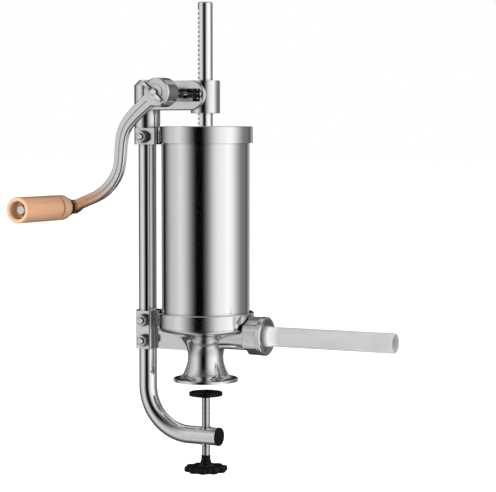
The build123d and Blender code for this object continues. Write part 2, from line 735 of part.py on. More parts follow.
# ---------------------------------------------------------------- grip, ferrule and grip bolt
with BuildPart() as grip:
    with BuildSketch(Plane.YZ.offset(GRIP_X)):
        with BuildLine():
            Polyline(
                (GRIP_Y[0], GRIP_Z),
                (GRIP_Y[0], GRIP_Z + GRIP_R - 2),
                (GRIP_Y[0] + 2, GRIP_Z + GRIP_R),
                (GRIP_Y[1] - 23.4, GRIP_Z + GRIP_R),
                (GRIP_Y[1] - 21.7, GRIP_Z + GRIP_R - 1.7),
                (GRIP_Y[1] - 20.3, GRIP_Z + GRIP_R - 2.0),
                (GRIP_Y[1] - 19.0, GRIP_Z + GRIP_R - 1.5),
                (GRIP_Y[1] - 17.6, GRIP_Z + GRIP_R),
                (GRIP_Y[1] - 9.0, GRIP_Z + GRIP_R),
                (GRIP_Y[1] - 5.0, GRIP_Z + GRIP_R - 0.9),
                (GRIP_Y[1] - 2.0, GRIP_Z + GRIP_R - 2.3),
                (GRIP_Y[1], GRIP_Z + GRIP_R - 4.0),
                (GRIP_Y[1], GRIP_Z),
                (GRIP_Y[0], GRIP_Z),
            )
        make_face()
    revolve(axis=Axis((GRIP_X, 0, GRIP_Z), (0, 1, 0)))
    bar_y(GRIP_X, GRIP_Z, GRIP_HOLE_R, GRIP_Y[0] - 1, GRIP_HEAD_Y[1] + 0.2, Mode.SUBTRACT)
    bar_y(GRIP_X, GRIP_Z, BOLT_R + RUN, -210, -100, Mode.SUBTRACT)

grip.part.label = "grip"
export_step(grip.part, "parts/grip.step")

with BuildPart() as grip_ferrule:
    with BuildSketch(Plane.YZ.offset(GRIP_X)):
        with BuildLine():
            Polyline(
                (FERRULE_Y[1], GRIP_Z),
                (FERRULE_Y[1], GRIP_Z + 10.7),
                (FERRULE_Y[0] - 4, GRIP_Z + 10.7),
                (FERRULE_Y[0] - 0.02, GRIP_Z + 8.6),
                (FERRULE_Y[0] - 0.02, GRIP_Z),
                (FERRULE_Y[1], GRIP_Z),
            )
        make_face()
    revolve(axis=Axis((GRIP_X, 0, GRIP_Z), (0, 1, 0)))
    bar_y(GRIP_X, GRIP_Z, BOLT_R + FIT, -110, -85, Mode.SUBTRACT)

grip_ferrule.part.label = "grip_ferrule"
export_step(grip_ferrule.part, "parts/grip_ferrule.step")

with BuildPart() as grip_bolt:
    bar_y(GRIP_X, GRIP_Z, BOLT_R, GRIP_HEAD_Y[1], -72)
    bar_y(GRIP_X, GRIP_Z, 5.6, *GRIP_HEAD_Y)
    fillet(grip_bolt.edges().group_by(Axis.Y)[0], radius=1.2)

grip_bolt.part.label = "grip_bolt"
export_step(grip_bolt.part, "parts/grip_bolt.step")

with BuildPart() as grip_nut:
    hex_y(GRIP_X, GRIP_Z, HEX_ACROSS, CRANK_Y[1] + 0.02, CRANK_Y[1] + 6.5)
    bar_y(GRIP_X, GRIP_Z, BOLT_R + FIT, -85, -60, Mode.SUBTRACT)

grip_nut.part.label = "grip_nut"
export_step(grip_nut.part, "parts/grip_nut.step")

# ---------------------------------------------------------------- clamp screw, insert, pad, clip and knob
with BuildPart() as clamp_insert:
    bar_z(0, 0, INSERT_R - FIT, CLAMP_Z - TUBE_R + 0.1, CLAMP_Z + TUBE_R - 0.1)
    bar_z(0, 0, SCREW_R + RUN, -90, -50, Mode.SUBTRACT)

clamp_insert.part.label = "clamp_insert"
export_step(clamp_insert.part, "parts/clamp_insert.step")

with BuildPart() as clamp_screw:
    bar_z(0, 0, SCREW_R, KNOB_Z[0] + 2, PAD_Z[0] - 2.2)
    bar_z(0, 0, 3.5, PAD_Z[0] - 2.2, PAD_Z[1] - 1.6)
    with BuildSketch(Plane.XY.offset(PAD_Z[0] - 1.4)):
        Circle(4)
        Circle(2.6, mode=Mode.SUBTRACT)
    extrude(amount=1.45, mode=Mode.SUBTRACT)

clamp_screw.part.label = "clamp_screw"
export_step(clamp_screw.part, "parts/clamp_screw.step")

with BuildPart() as clamp_pad:
    bar_z(0, 0, PAD_R, PAD_Z[0], PAD_Z[1])
    fillet(clamp_pad.edges(), radius=0.8)
    bar_z(0, 0, 3.5 + RUN, PAD_Z[0] - 1, PAD_Z[1] - 1.5, Mode.SUBTRACT)

clamp_pad.part.label = "clamp_pad"
export_step(clamp_pad.part, "parts/clamp_pad.step")

with BuildPart() as pad_clip:
    bar_z(0, 0, 7.5, PAD_Z[0] - 1.3, PAD_Z[0] - 0.02)
    bar_z(0, 0, 2.6 + RUN, PAD_Z[0] - 5, PAD_Z[0], Mode.SUBTRACT)
    with BuildSketch(Plane.XY.offset(PAD_Z[0] - 2)):
        with Locations((5, 0)):
            Rectangle(10, 5.3)
    extrude(amount=3, mode=Mode.SUBTRACT)

pad_clip.part.label = "pad_clip"
export_step(pad_clip.part, "parts/pad_clip.step")

with BuildPart() as clamp_knob:
    with BuildSketch(Plane.XY.offset(KNOB_Z[0])):
        Circle(23.2)
        with PolarLocations(22.2, 10):
            Circle(4.6)
    extrude(amount=KNOB_Z[1] - KNOB_Z[0])
    fillet(clamp_knob.faces().sort_by(Axis.Z)[-1].edges(), radius=1.5)
    with BuildSketch(Plane.XZ):
        with BuildLine():
            Polyline(
                (0, KNOB_Z[1] - 1),
                (9.5, KNOB_Z[1] - 1),
                (9.5, KNOB_Z[1]),
                (7.0, -103.5),
                (6.6, -99.5),
                (5.6, -97.5),
                (5.6, -91.5),
                (0, -91.5),
                (0, KNOB_Z[1] - 1),
            )
        make_face()
    revolve(axis=Axis.Z)
    bar_z(0, 0, SCREW_R + FIT, KNOB_Z[0] + 2 - FIT, -90, Mode.SUBTRACT)

clamp_knob.part.label = "clamp_knob"
export_step(clamp_knob.part, "parts/clamp_knob.step")

# ---------------------------------------------------------------- ring nut, stuffing tube and gasket
with BuildPart() as nozzle_nut:
    # six narrow ribs between wide scallops
    with BuildSketch(Plane.YZ.offset(NUT_X[0])):
        with Locations((0, SPOUT_Z)):
            Circle(NUT_R - 0.4)
            with PolarLocations(SCALLOP_R + NUT_BODY_R, 6, start_angle=0):
                Circle(SCALLOP_R, mode=Mode.SUBTRACT)
    extrude(amount=NUT_X[1] - NUT_X[0] - NUT_COLLAR)
    chamfer(nozzle_nut.edges().group_by(Axis.X)[0], length=0.5)
    bar_x(SPOUT_Z, NUT_R, NUT_X[1] - NUT_COLLAR, NUT_X[1])
    chamfer(nozzle_nut.edges().group_by(Axis.X)[-1], length=0.9)
    bar_x(SPOUT_Z, SPOUT_R + RUN, NUT_X[0] - 1, NUT_X[1] - 3, Mode.SUBTRACT)
    bar_x(SPOUT_Z, NOZZLE_ROOT_R + RUN, NUT_X[0], NUT_X[1] + 1, Mode.SUBTRACT)
    # shallow dish in the face
    with BuildSketch(Plane.XZ):
        with BuildLine():
            Polyline(
                (NUT_X[1] - 1.4, SPOUT_Z + 12),
                (NUT_X[1] - 1.4, SPOUT_Z + 15),
                (NUT_X[1] + 0.1, SPOUT_Z + 20.5),
                (NUT_X[1] + 0.1, SPOUT_Z + 12),
                (NUT_X[1] - 1.4, SPOUT_Z + 12),
            )
        make_face()
    revolve(axis=Axis((0, 0, SPOUT_Z), (1, 0, 0)), mode=Mode.SUBTRACT)

nozzle_nut.part.label = "nozzle_nut"
export_step(nozzle_nut.part, "parts/nozzle_nut.step")

with BuildPart() as nozzle_gasket:
    bar_x(SPOUT_Z, SPOUT_R - 0.6, SPOUT_END + 0.02, SPOUT_END + 1)
    bar_x(SPOUT_Z, SPOUT_BORE_R + 0.5, 70, 80, Mode.SUBTRACT)

nozzle_gasket.part.label = "nozzle_gasket"
export_step(nozzle_gasket.part, "parts/nozzle_gasket.step")

with BuildPart() as stuffing_tube:
    with BuildSketch(Plane.XZ):
        with BuildLine():
            Polyline(
                (78.05, SPOUT_Z + 11.2),
                (78.05, SPOUT_Z + 17.4),
                (80.5, SPOUT_Z + 17.4),
                (80.5, SPOUT_Z + NOZZLE_ROOT_R),
                (84, SPOUT_Z + NOZZLE_ROOT_R),
                (91, SPOUT_Z + NOZZLE_R),
                (NOZZLE_TIP, SPOUT_Z + NOZZLE_R),
                (NOZZLE_TIP, SPOUT_Z + NOZZLE_R - 1.4),
                (84, SPOUT_Z + NOZZLE_R - 1.4),
                (78.05, SPOUT_Z + 11.2),
            )
        make_face()
    revolve(axis=Axis((0, 0, SPOUT_Z), (1, 0, 0)))

stuffing_tube.part.label = "stuffing_tube"
export_step(stuffing_tube.part, "parts/stuffing_tube.step")
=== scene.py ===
"""Looks of the clamp-on vertical sausage stuffer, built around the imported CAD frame. Metres."""

import json
import math

import bmesh
import bpy
from mathutils import Matrix, Vector


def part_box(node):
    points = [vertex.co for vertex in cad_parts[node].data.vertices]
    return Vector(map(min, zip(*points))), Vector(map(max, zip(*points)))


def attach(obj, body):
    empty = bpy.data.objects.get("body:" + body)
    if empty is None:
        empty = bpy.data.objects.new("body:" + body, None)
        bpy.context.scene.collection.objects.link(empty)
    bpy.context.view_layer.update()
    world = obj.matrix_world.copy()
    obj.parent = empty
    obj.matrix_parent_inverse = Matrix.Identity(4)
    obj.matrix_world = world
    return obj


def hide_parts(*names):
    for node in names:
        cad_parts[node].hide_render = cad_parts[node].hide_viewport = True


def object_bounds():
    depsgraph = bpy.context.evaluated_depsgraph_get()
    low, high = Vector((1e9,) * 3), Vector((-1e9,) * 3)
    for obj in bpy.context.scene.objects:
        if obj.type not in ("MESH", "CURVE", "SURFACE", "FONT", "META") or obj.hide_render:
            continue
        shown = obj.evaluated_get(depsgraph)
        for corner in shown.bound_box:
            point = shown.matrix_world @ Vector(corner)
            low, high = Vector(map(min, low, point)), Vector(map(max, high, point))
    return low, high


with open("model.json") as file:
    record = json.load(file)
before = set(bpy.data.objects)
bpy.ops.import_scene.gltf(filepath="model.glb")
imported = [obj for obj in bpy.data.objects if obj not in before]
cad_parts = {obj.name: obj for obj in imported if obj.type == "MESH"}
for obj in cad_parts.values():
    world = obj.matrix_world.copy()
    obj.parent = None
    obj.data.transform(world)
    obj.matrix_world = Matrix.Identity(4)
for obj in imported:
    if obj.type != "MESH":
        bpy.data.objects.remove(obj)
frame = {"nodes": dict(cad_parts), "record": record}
cad_low, cad_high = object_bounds()
NODES = frame["nodes"]
RECORD = frame["record"]
SLOTS = {s["node"]: s["material_slot"] for s in RECORD["subparts"]}

MM = 0.001
AZIMUTH = math.radians(28.0)
NUT_FACE_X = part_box("nozzle_nut")[1].x
# span along the tube over which the painted highlight at its root fades out
ROOT_HIGHLIGHT = (NUT_FACE_X + 6 * MM, NUT_FACE_X + 19 * MM)
GROOVE_FROM_END = 20.4
GROOVE_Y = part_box("grip")[1][1] - GROOVE_FROM_END * MM
NEARLY_BLACK = (0.02, 0.02, 0.02)


# ------------------------------------------------------------------ node helpers
def new_material(name):
    """Material with one principled shader; returns it with its node tree and that shader."""
    mat = bpy.data.materials.new(name)
    mat.use_nodes = True
    tree = mat.node_tree
    tree.nodes.clear()
    out = tree.nodes.new("ShaderNodeOutputMaterial")
    shader = tree.nodes.new("ShaderNodeBsdfPrincipled")
    tree.links.new(shader.outputs[0], out.inputs[0])
    return mat, tree, shader


def add(tree, kind, **inputs):
    """Node of a kind; a keyword sets the input of that name, or else the property."""
    node = tree.nodes.new(kind)
    for key, value in inputs.items():
        if key in node.inputs:
            node.inputs[key].default_value = value
        else:
            setattr(node, key, value)
    return node


def coords(tree, scale):
    """Object coordinates stretched by scale."""
    source = tree.nodes.new("ShaderNodeTexCoord")
    stretch = tree.nodes.new("ShaderNodeMapping")
    stretch.inputs["Scale"].default_value = scale
    tree.links.new(source.outputs["Object"], stretch.inputs["Vector"])
    return stretch.outputs["Vector"]


def component(tree, vector, axis):
    """One coordinate of a vector."""
    split = add(tree, "ShaderNodeSeparateXYZ")
    tree.links.new(vector, split.inputs[0])
    return split.outputs[axis]


def maths(tree, operation, *values):
    """Result of a sum on sockets or numbers."""
    node = add(tree, "ShaderNodeMath", operation=operation)
    for socket, value in zip(node.inputs, values):
        if isinstance(value, bpy.types.NodeSocket):
            tree.links.new(value, socket)
        else:
            socket.default_value = value
    return node.outputs[0]


def noise(tree, vector, scale, detail=4.0, rough=0.55):
    """Cloudy pattern from 0 to 1; a larger scale is finer."""
    node = tree.nodes.new("ShaderNodeTexNoise")
    node.inputs["Scale"].default_value = scale
    node.inputs["Detail"].default_value = detail
    node.inputs["Roughness"].default_value = rough
    tree.links.new(vector, node.inputs["Vector"])
    return node.outputs["Fac"]


def remap(tree, value, low, high, out_low, out_high):
    """Value moved from the range low to high onto out_low to out_high, and held there beyond it."""
    node = tree.nodes.new("ShaderNodeMapRange")
    node.inputs["From Min"].default_value = low
    node.inputs["From Max"].default_value = high
    node.inputs["To Min"].default_value = out_low
    node.inputs["To Max"].default_value = out_high
    tree.links.new(value, node.inputs["Value"])
    return node.outputs["Result"]


def mixed(tree, factor, first, second):
    """Colour between first and second; each is a colour or a socket."""
    node = tree.nodes.new("ShaderNodeMix")
    node.data_type = "RGBA"
    for index, colour in ((6, first), (7, second)):
        if isinstance(colour, bpy.types.NodeSocket):
            tree.links.new(colour, node.inputs[index])
        else:
            node.inputs[index].default_value = (*colour, 1)
    tree.links.new(factor, node.inputs[0])
    return node.outputs[2]


def bump(tree, height, strength, distance, normal=None):
    """Normal tilted by a height pattern, on top of another normal if one is given."""
    node = tree.nodes.new("ShaderNodeBump")
    node.inputs["Strength"].default_value = strength
    node.inputs["Distance"].default_value = distance
    tree.links.new(height, node.inputs["Height"])
    if normal is not None:
        tree.links.new(normal, node.inputs["Normal"])
    return node.outputs["Normal"]


def grazing(tree, start, amount):
    """Rises from 0 to amount where the surface turns away from the viewer."""
    weight = add(tree, "ShaderNodeLayerWeight")
    return remap(tree, weight.outputs["Facing"], start, 1.0, 0.0, amount)


# ------------------------------------------------------------------ materials
def metal(
    name,
    colour,
    rough,
    scratch=(1, 1, 1),
    scratch_scale=400,
    wave=0.0,
    crevice_shade=0.5,
    reach=0.005,
    streak=0.05,
    edge=0.0,
    rim_shade=0.0,
):
    """Polished metal: scratches that vary roughness, faint waviness, painted shade in crevices, rounded
    edges.

    Painted shade darkens the faces that turn away from the viewer, as on small bright parts.
    """
    mat, tree, shader = new_material(name)
    fine = noise(tree, coords(tree, scratch), scratch_scale, 3.0, 0.6)
    broad = noise(tree, coords(tree, (1, 1, 1)), 35, 3.0)
    level = remap(tree, fine, 0.3, 0.7, rough * 0.8, rough * 1.25)
    stain = remap(tree, broad, 0.35, 0.75, 0.0, rough * 0.35)
    tree.links.new(maths(tree, "ADD", level, stain), shader.inputs["Roughness"])
    # painted shade: crevices and recesses, where ambient occlusion finds nearby surfaces, are mixed towards
    # the dark colour
    ao = add(tree, "ShaderNodeAmbientOcclusion", Distance=reach, samples=8)
    crevice_shading = remap(tree, ao.outputs["AO"], 0.25, 0.85, crevice_shade, 0.0)
    dark = tuple(c * 0.2 for c in colour)
    shade = mixed(tree, remap(tree, fine, 0.3, 0.7, 0.0, streak), colour, dark)
    shade = mixed(tree, crevice_shading, shade, dark)
    # painted shade: faces turning away from the viewer are mixed towards nearly black
    if rim_shade:
        shade = mixed(tree, grazing(tree, 0.3, rim_shade), shade, NEARLY_BLACK)
    tree.links.new(shade, shader.inputs["Base Color"])
    shader.inputs["Metallic"].default_value = 1.0
    rounded = add(tree, "ShaderNodeBevel", Radius=edge, samples=6).outputs["Normal"] if edge else None
    normal = bump(tree, fine, 0.04, 0.0002, rounded)
    if wave:
        normal = bump(tree, noise(tree, coords(tree, (1, 1, 1)), 60, 2.0), wave, 0.002, normal)
    tree.links.new(normal, shader.inputs["Normal"])
    return mat


def casting(name, crevice_shade=0.9, reach=0.005):
    """Polished aluminium casting with rounded edges and painted shade in its recesses; a greater reach paints
    shade into wider recesses.
    """
    colour = (0.84, 0.845, 0.85)
    return metal(name, colour, 0.11, wave=0.03, scratch_scale=250, crevice_shade=crevice_shade, reach=reach, edge=0.6 * MM)


def plastic(name, colour, rough, grain=900, depth=0.15, shine=0.3):
    """Moulded plastic or rubber with a fine grain and uneven gloss."""
    mat, tree, shader = new_material(name)
    fine = noise(tree, coords(tree, (1, 1, 1)), grain, 2.0)
    broad = noise(tree, coords(tree, (1, 1, 1)), 50, 3.0)
    tree.links.new(remap(tree, broad, 0.3, 0.7, rough * 0.85, rough * 1.15), shader.inputs["Roughness"])
    lighter = tuple(min(c * 1.5 + 0.002, 1) for c in colour)
    shade = mixed(tree, remap(tree, fine, 0.35, 0.65, 0, 0.5), colour, lighter)
    tree.links.new(shade, shader.inputs["Base Color"])
    shader.inputs["Specular IOR Level"].default_value = shine
    tree.links.new(bump(tree, fine, depth, 0.0002), shader.inputs["Normal"])
    return mat


def wood(name):
    """Varnished light hardwood with grain along Y and paler end grain; painted warm light in its hollows and
    painted shade at its edges and in its groove.
    """
    mat, tree, shader = new_material(name)
    grain = noise(tree, coords(tree, (1, 0.05, 1)), 260, 6.0, 0.62)
    band = add(tree, "ShaderNodeTexWave", Scale=45.0, Distortion=5.0, Detail=3.0)
    tree.links.new(coords(tree, (1, 0.1, 0.7)), band.inputs["Vector"])
    pores = noise(tree, coords(tree, (1, 0.03, 1)), 1500, 2.0)
    ring = remap(tree, band.outputs["Fac"], 0, 1, 0.1, 0.6)
    base = mixed(tree, ring, (0.60, 0.33, 0.19), (0.50, 0.25, 0.13))
    base = mixed(tree, remap(tree, grain, 0.35, 0.7, 0, 0.4), base, (0.70, 0.43, 0.27))
    base = mixed(tree, remap(tree, pores, 0.6, 0.72, 0, 0.3), base, (0.30, 0.13, 0.06))
    facing = add(tree, "ShaderNodeNewGeometry").outputs["Normal"]
    end_grain = maths(tree, "ABSOLUTE", component(tree, facing, "Y"))
    base = mixed(tree, remap(tree, end_grain, 0.6, 0.95, 0, 0.75), base, (0.82, 0.56, 0.34))
    # painted light: a warm orange glow in the bore and the groove, where ambient occlusion finds nearby wood
    ao = add(tree, "ShaderNodeAmbientOcclusion", Distance=0.006, samples=8)
    base = mixed(tree, remap(tree, ao.outputs["AO"], 0.2, 0.8, 0.85, 0.0), base, (0.95, 0.42, 0.12))
    # painted shade: dark brown on faces turning away from the viewer
    base = mixed(tree, grazing(tree, 0.45, 0.95), base, (0.17, 0.065, 0.028))
    # painted shade: darker in and beside the groove
    along = component(tree, coords(tree, (1, 1, 1)), "Y")
    from_groove = maths(tree, "ABSOLUTE", maths(tree, "SUBTRACT", along, GROOVE_Y))
    base = mixed(tree, remap(tree, from_groove, 0.8 * MM, 3 * MM, 0.85, 0.0), base, (0.16, 0.06, 0.02))
    tree.links.new(base, shader.inputs["Base Color"])
    tree.links.new(remap(tree, grain, 0.3, 0.7, 0.36, 0.5), shader.inputs["Roughness"])
    shader.inputs["Coat Weight"].default_value = 0.2
    shader.inputs["Coat Roughness"].default_value = 0.25
    tree.links.new(bump(tree, pores, 0.2, 0.0002), shader.inputs["Normal"])
    return mat


def milky(name):
    """Cloudy white polypropylene, with a painted highlight on the root just out of the nut, painted shadow
    where it leaves the nut face and painted shade at its edges.
    """
    mat, tree, shader = new_material(name)
    cloud = noise(tree, coords(tree, (0.3, 1, 1)), 90, 3.0)
    fine = noise(tree, coords(tree, (1, 1, 1)), 1200, 2.0)
    shade = mixed(tree, remap(tree, cloud, 0.3, 0.7, 0, 1), (0.44, 0.44, 0.445), (0.50, 0.50, 0.505))
    along = component(tree, coords(tree, (1, 1, 1)), "X")
    # painted highlight: the root is lighter just out of the nut
    root_highlight = remap(tree, along, ROOT_HIGHLIGHT[0], ROOT_HIGHLIGHT[1], 0.9, 0.0)
    shade = mixed(tree, root_highlight, shade, (0.9, 0.9, 0.9))
    # painted shadow: the root is dark where it leaves the nut face
    root_shadow = remap(tree, along, NUT_FACE_X, ROOT_HIGHLIGHT[0], 0.75, 0.0)
    shade = mixed(tree, root_shadow, shade, (0.12, 0.12, 0.12))
    # painted shade: greyer on faces turning away from the viewer
    shade = mixed(tree, grazing(tree, 0.62, 0.9), shade, (0.20, 0.20, 0.205))
    tree.links.new(shade, shader.inputs["Base Color"])
    tree.links.new(remap(tree, fine, 0.3, 0.7, 0.28, 0.36), shader.inputs["Roughness"])
    shader.inputs["Subsurface Weight"].default_value = 0.5
    shader.inputs["Subsurface Radius"].default_value = (4 * MM, 4 * MM, 4 * MM)
    shader.inputs["Subsurface Scale"].default_value = 1.0
    shader.inputs["IOR"].default_value = 1.49
    tree.links.new(bump(tree, fine, 0.03, 0.0001), shader.inputs["Normal"])
    return mat


def paint_reflection(mat, colour, centre, reach):
    """Painted reflection: the metal is tinted with the colour of a piece at centre, most on its lower faces.
    """
    tree = mat.node_tree
    shader = next(node for node in tree.nodes if node.type == "BSDF_PRINCIPLED")
    source = shader.inputs["Base Color"].links[0].from_socket
    distance = add(tree, "ShaderNodeVectorMath", operation="DISTANCE")
    tree.links.new(coords(tree, (1, 1, 1)), distance.inputs[0])
    distance.inputs[1].default_value = centre
    near = remap(tree, distance.outputs["Value"], reach[0], reach[1], 1.0, 0.0)
    facing = add(tree, "ShaderNodeNewGeometry").outputs["Normal"]
    below = remap(tree, component(tree, facing, "Z"), 0.3, -0.3, 0.75, 1.0)
    factor = maths(tree, "MULTIPLY", near, below)
    tree.links.new(mixed(tree, factor, source, colour), shader.inputs["Base Color"])
    return mat


# each metal has painted shade in its crevices; the fasteners also have it on faces turning away from the
# viewer
MATERIALS = {
    "castings": casting("polished_casting"),
    "tubes": metal("polished_tube", (0.90, 0.905, 0.91), 0.05, scratch=(1, 1, 0.05), crevice_shade=0.6),
    "cylinder": metal(
        "brushed_cylinder", (0.86, 0.86, 0.86), 0.09, scratch=(0.05, 0.05, 1), scratch_scale=900, streak=0.03
    ),
    "steel": metal("machined_steel", (0.93, 0.935, 0.94), 0.07, scratch=(1, 1, 0.1), crevice_shade=0.7),
    "fasteners": metal("zinc_steel", (0.80, 0.805, 0.81), 0.1, crevice_shade=0.9, reach=0.007, rim_shade=1.6),
    "bushes": metal("bronze", (0.50, 0.40, 0.26), 0.28, crevice_shade=0.5),
    "wood": wood("varnished_wood"),
    "black_plastic": plastic("black_plastic", (0.003, 0.003, 0.0032), 0.32, shine=0.14),
    "white_plastic": milky("milky_plastic"),
    "seals": plastic("silicone", (0.66, 0.66, 0.64), 0.5),
}
# painted shade deep in recesses, such as the slot in the head and between the nut's ribs
MATERIALS["recess_shaded_casting"] = casting("recess_shaded_casting", crevice_shade=0.97, reach=16 * MM)
MATERIALS["dark_chrome"] = metal("dark_chrome", (0.07, 0.07, 0.072), 0.1, crevice_shade=0.8)
grip_low, grip_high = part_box("grip")
ARM_EYE = ((grip_low[0] + grip_high[0]) / 2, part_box("crank_arm")[0][1], (grip_low[2] + grip_high[2]) / 2)
# painted shade in the arm's recesses and a painted reflection of the wooden grip on the arm near it
MATERIALS["arm_shaded_reflecting_casting"] = paint_reflection(
    casting("arm_shaded_reflecting_casting", crevice_shade=0.97, reach=16 * MM), (0.70, 0.31, 0.12), ARM_EYE, (20 * MM, 70 * MM)
)
# painted shade in recesses and on faces turning away from the viewer, for the small wing screw and its washer
MATERIALS["rim_shaded_casting"] = metal(
    "rim_shaded_casting",
    (0.95, 0.95, 0.955),
    0.1,
    wave=0.03,
    scratch_scale=250,
    crevice_shade=0.97,
    reach=8 * MM,
    rim_shade=1.8,
)
# nodes whose finish differs from their slot's
SPECIAL_FINISH = {
    "head_casting": "recess_shaded_casting",
    "nozzle_nut": "recess_shaded_casting",
    "crank_arm": "arm_shaded_reflecting_casting",
    "grip_ferrule": "dark_chrome",
    "wing_screw": "rim_shaded_casting",
    "crank_washer": "rim_shaded_casting",
}
for node, obj in NODES.items():
    obj.data.materials.clear()
    obj.data.materials.append(MATERIALS[SPECIAL_FINISH.get(node, SLOTS[node])])


# ------------------------------------------------------------------ turned pieces
TURNS = {
    "X": Matrix.Rotation(math.pi / 2, 4, "Y"),
    "Y": Matrix.Rotation(-math.pi / 2, 4, "X"),
    "Z": Matrix.Identity(4),
}
SHARP_ANGLE = math.radians(32)
M8_R = 4.0
M8_BORE_R = 4.02
M8_PITCH = 1.25
M8_HEX = 13
M8_HEAD = 5.3
M10_R = 5.0
M10_PITCH = 1.5


def turned(node, body, lathes, count=96, joined=False):
    """Object in place of a CAD node, from (axis, centre, rings) shapes.

    A ring is (distance along the axis, radius) in millimetres; a radius may be a function of the angle.
    Joined shapes close on their first ring, like a nut round its bore; others are capped at both ends.
    """
    mesh = bmesh.new()
    for axis, centre, rings in lathes:
        place = Matrix.Translation(centre) @ TURNS[axis]
        loops = []
        for along, radius in rings:
            loop = []
            for step in range(count):
                angle = 2 * math.pi * step / count
                reach = radius(angle) if callable(radius) else radius
                point = Vector((reach * math.cos(angle), reach * math.sin(angle), along)) * MM
                loop.append(mesh.verts.new(place @ point))
            loops.append(loop)
        if joined:
            loops.append(loops[0])
        else:
            mesh.faces.new(loops[0])
            mesh.faces.new(loops[-1])
        for low, high in zip(loops, loops[1:]):
            for step in range(count):
                after = (step + 1) % count
                mesh.faces.new((low[step], low[after], high[after], high[step]))
    bmesh.ops.recalc_face_normals(mesh, faces=mesh.faces)
    data = bpy.data.meshes.new("turned_" + node)
    mesh.to_mesh(data)
    mesh.free()
    data.shade_smooth()
    data.set_sharp_from_angle(angle=SHARP_ANGLE)
    obj = bpy.data.objects.new("turned_" + node, data)
    bpy.context.scene.collection.objects.link(obj)
    data.materials.append(MATERIALS[SLOTS[node]])
    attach(obj, body)
    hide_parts(node)
    return obj


def hexagon(across, limit):
    """Radius of a hexagon with flats left and right, cut to a circle of radius limit."""

    def radius(angle):
        turn = (angle + math.pi / 6) % (math.pi / 3) - math.pi / 6
        return min(across / 2 / math.cos(turn), limit)

    return radius


def hex_rings(across, start, end):
    """Rings of a hexagon between start and end with its corners bevelled at 30 degrees."""
    flat = across * 0.48
    slope = math.tan(math.radians(60))
    steps = [0.0, 0.1, 0.2, 0.35, 0.5, 0.7, 1.0]
    low = [(start + s, hexagon(across, flat + s * slope)) for s in steps]
    high = [(end - s, hexagon(across, flat + s * slope)) for s in reversed(steps)]
    return [(start, flat - 0.3)] + low + high + [(end, flat - 0.3)]


def thread_rings(radius, pitch, start, end):
    """Rings of a right-handed thread with flat crests, fading out at both ends."""
    depth = pitch * 0.4
    half_valley = 0.12
    rings = []
    count = round((end - start) / pitch * 10)
    for step in range(count + 1):
        along = start + (end - start) * step / count
        fade = min(1, (along - start) / pitch, (end - along) / pitch)

        def groove(angle, along=along, fade=fade):
            phase = (along / pitch - angle / (2 * math.pi)) % 1
            valley = max(0, 1 - abs(phase - 0.5) / half_valley)
            return radius - depth * fade * min(1, valley * 1.3)

        rings.append((along, groove))
    return rings


def bolt_shape(centre, tip, grip, head_end):
    """Hexagon-head M8 bolt along Y with its threaded tip towards -Y."""
    point = [(tip, M8_R - 0.7), (tip + 0.7, M8_R)]
    thread = thread_rings(M8_R, M8_PITCH, tip + 0.8, tip + 15)
    return ("Y", centre, point + thread + [(grip, M8_R)] + hex_rings(M8_HEX, grip, head_end))


def nut_shape(centre, start, end):
    """M8 hexagon nut along Y with a countersunk bore."""
    sink = 0.4
    entry = [(start + sink, M8_BORE_R), (start, M8_BORE_R + sink)]
    leave = [(end, M8_BORE_R + sink), (end - sink, M8_BORE_R)]
    return ("Y", centre, entry + hex_rings(M8_HEX, start, end) + leave)


def middle(node, axis):
    """Centre of a CAD node's box, with 0 along the named axis."""
    low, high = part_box(node)
    centre = (Vector(low) + Vector(high)) / 2
    centre["XYZ".index(axis)] = 0
    return centre


def span(node, axis):
    """Start and end of a CAD node along an axis, in millimetres."""
    low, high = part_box(node)
    index = "XYZ".index(axis)
    return low[index] / MM, high[index] / MM


def bolted(bolts, nuts):
    """M8 bolts with their nuts; a node with two pieces has one at each end of its height."""
    low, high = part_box(nuts)
    corner = M8_HEX / math.cos(math.pi / 6) / 2 * MM
    heights = sorted({round(low[2] + corner, 5), round(high[2] - corner, 5)})
    tip, head_end = span(bolts, "Y")
    centres = [Vector((middle(nuts, "Y")[0], 0, height)) for height in heights]
    turned(bolts, "frame", [bolt_shape(centre, tip, head_end - M8_HEAD, head_end) for centre in centres])
    turned(nuts, "frame", [nut_shape(centre, *span(nuts, "Y")) for centre in centres], joined=True)


bolted("base_bolts", "base_nuts")
bolted("head_bolt", "head_nut")
turned("grip_nut", "crank", [nut_shape(middle("grip_nut", "Y"), *span("grip_nut", "Y"))], joined=True)

# clamp screw: plain foot in the knob, M10 thread, neck with the clip groove
NECK_R = 3.5
CLIP_GROOVE_R = 2.6
foot, top = span("clamp_screw", "Z")
screw = [(foot, M10_R - 0.4), (foot + 0.4, M10_R), (foot + 15, M10_R)]
screw += thread_rings(M10_R, M10_PITCH, foot + 15.1, top - 6.4)
screw += [(top - 5.7, M10_R), (top - 5.2, M10_R - 0.5), (top - 5.2, NECK_R), (top - 4.4, NECK_R)]
screw += [(top - 4.4, CLIP_GROOVE_R), (top - 2.95, CLIP_GROOVE_R), (top - 2.95, NECK_R)]
screw += [(top - 0.4, NECK_R), (top, NECK_R - 0.4)]
turned("clamp_screw", "screw", [("Z", middle("clamp_screw", "Z"), screw)], count=64)


LOBES = 10
LOBE_RING_R = 22.2
LOBE_R = 4.6
WAIST_R = 23.2


def lobed(inset):
    """Radius of the lobed knob, pulled in by inset."""

    def radius(angle):
        turn = (angle + math.pi / LOBES) % (2 * math.pi / LOBES) - math.pi / LOBES
        side = LOBE_RING_R * math.sin(turn)
        if abs(side) > LOBE_R:
            return WAIST_R - inset
        lobe = LOBE_RING_R * math.cos(turn) + math.sqrt(LOBE_R**2 - side**2)
        return max(lobe, WAIST_R) - inset

    return radius


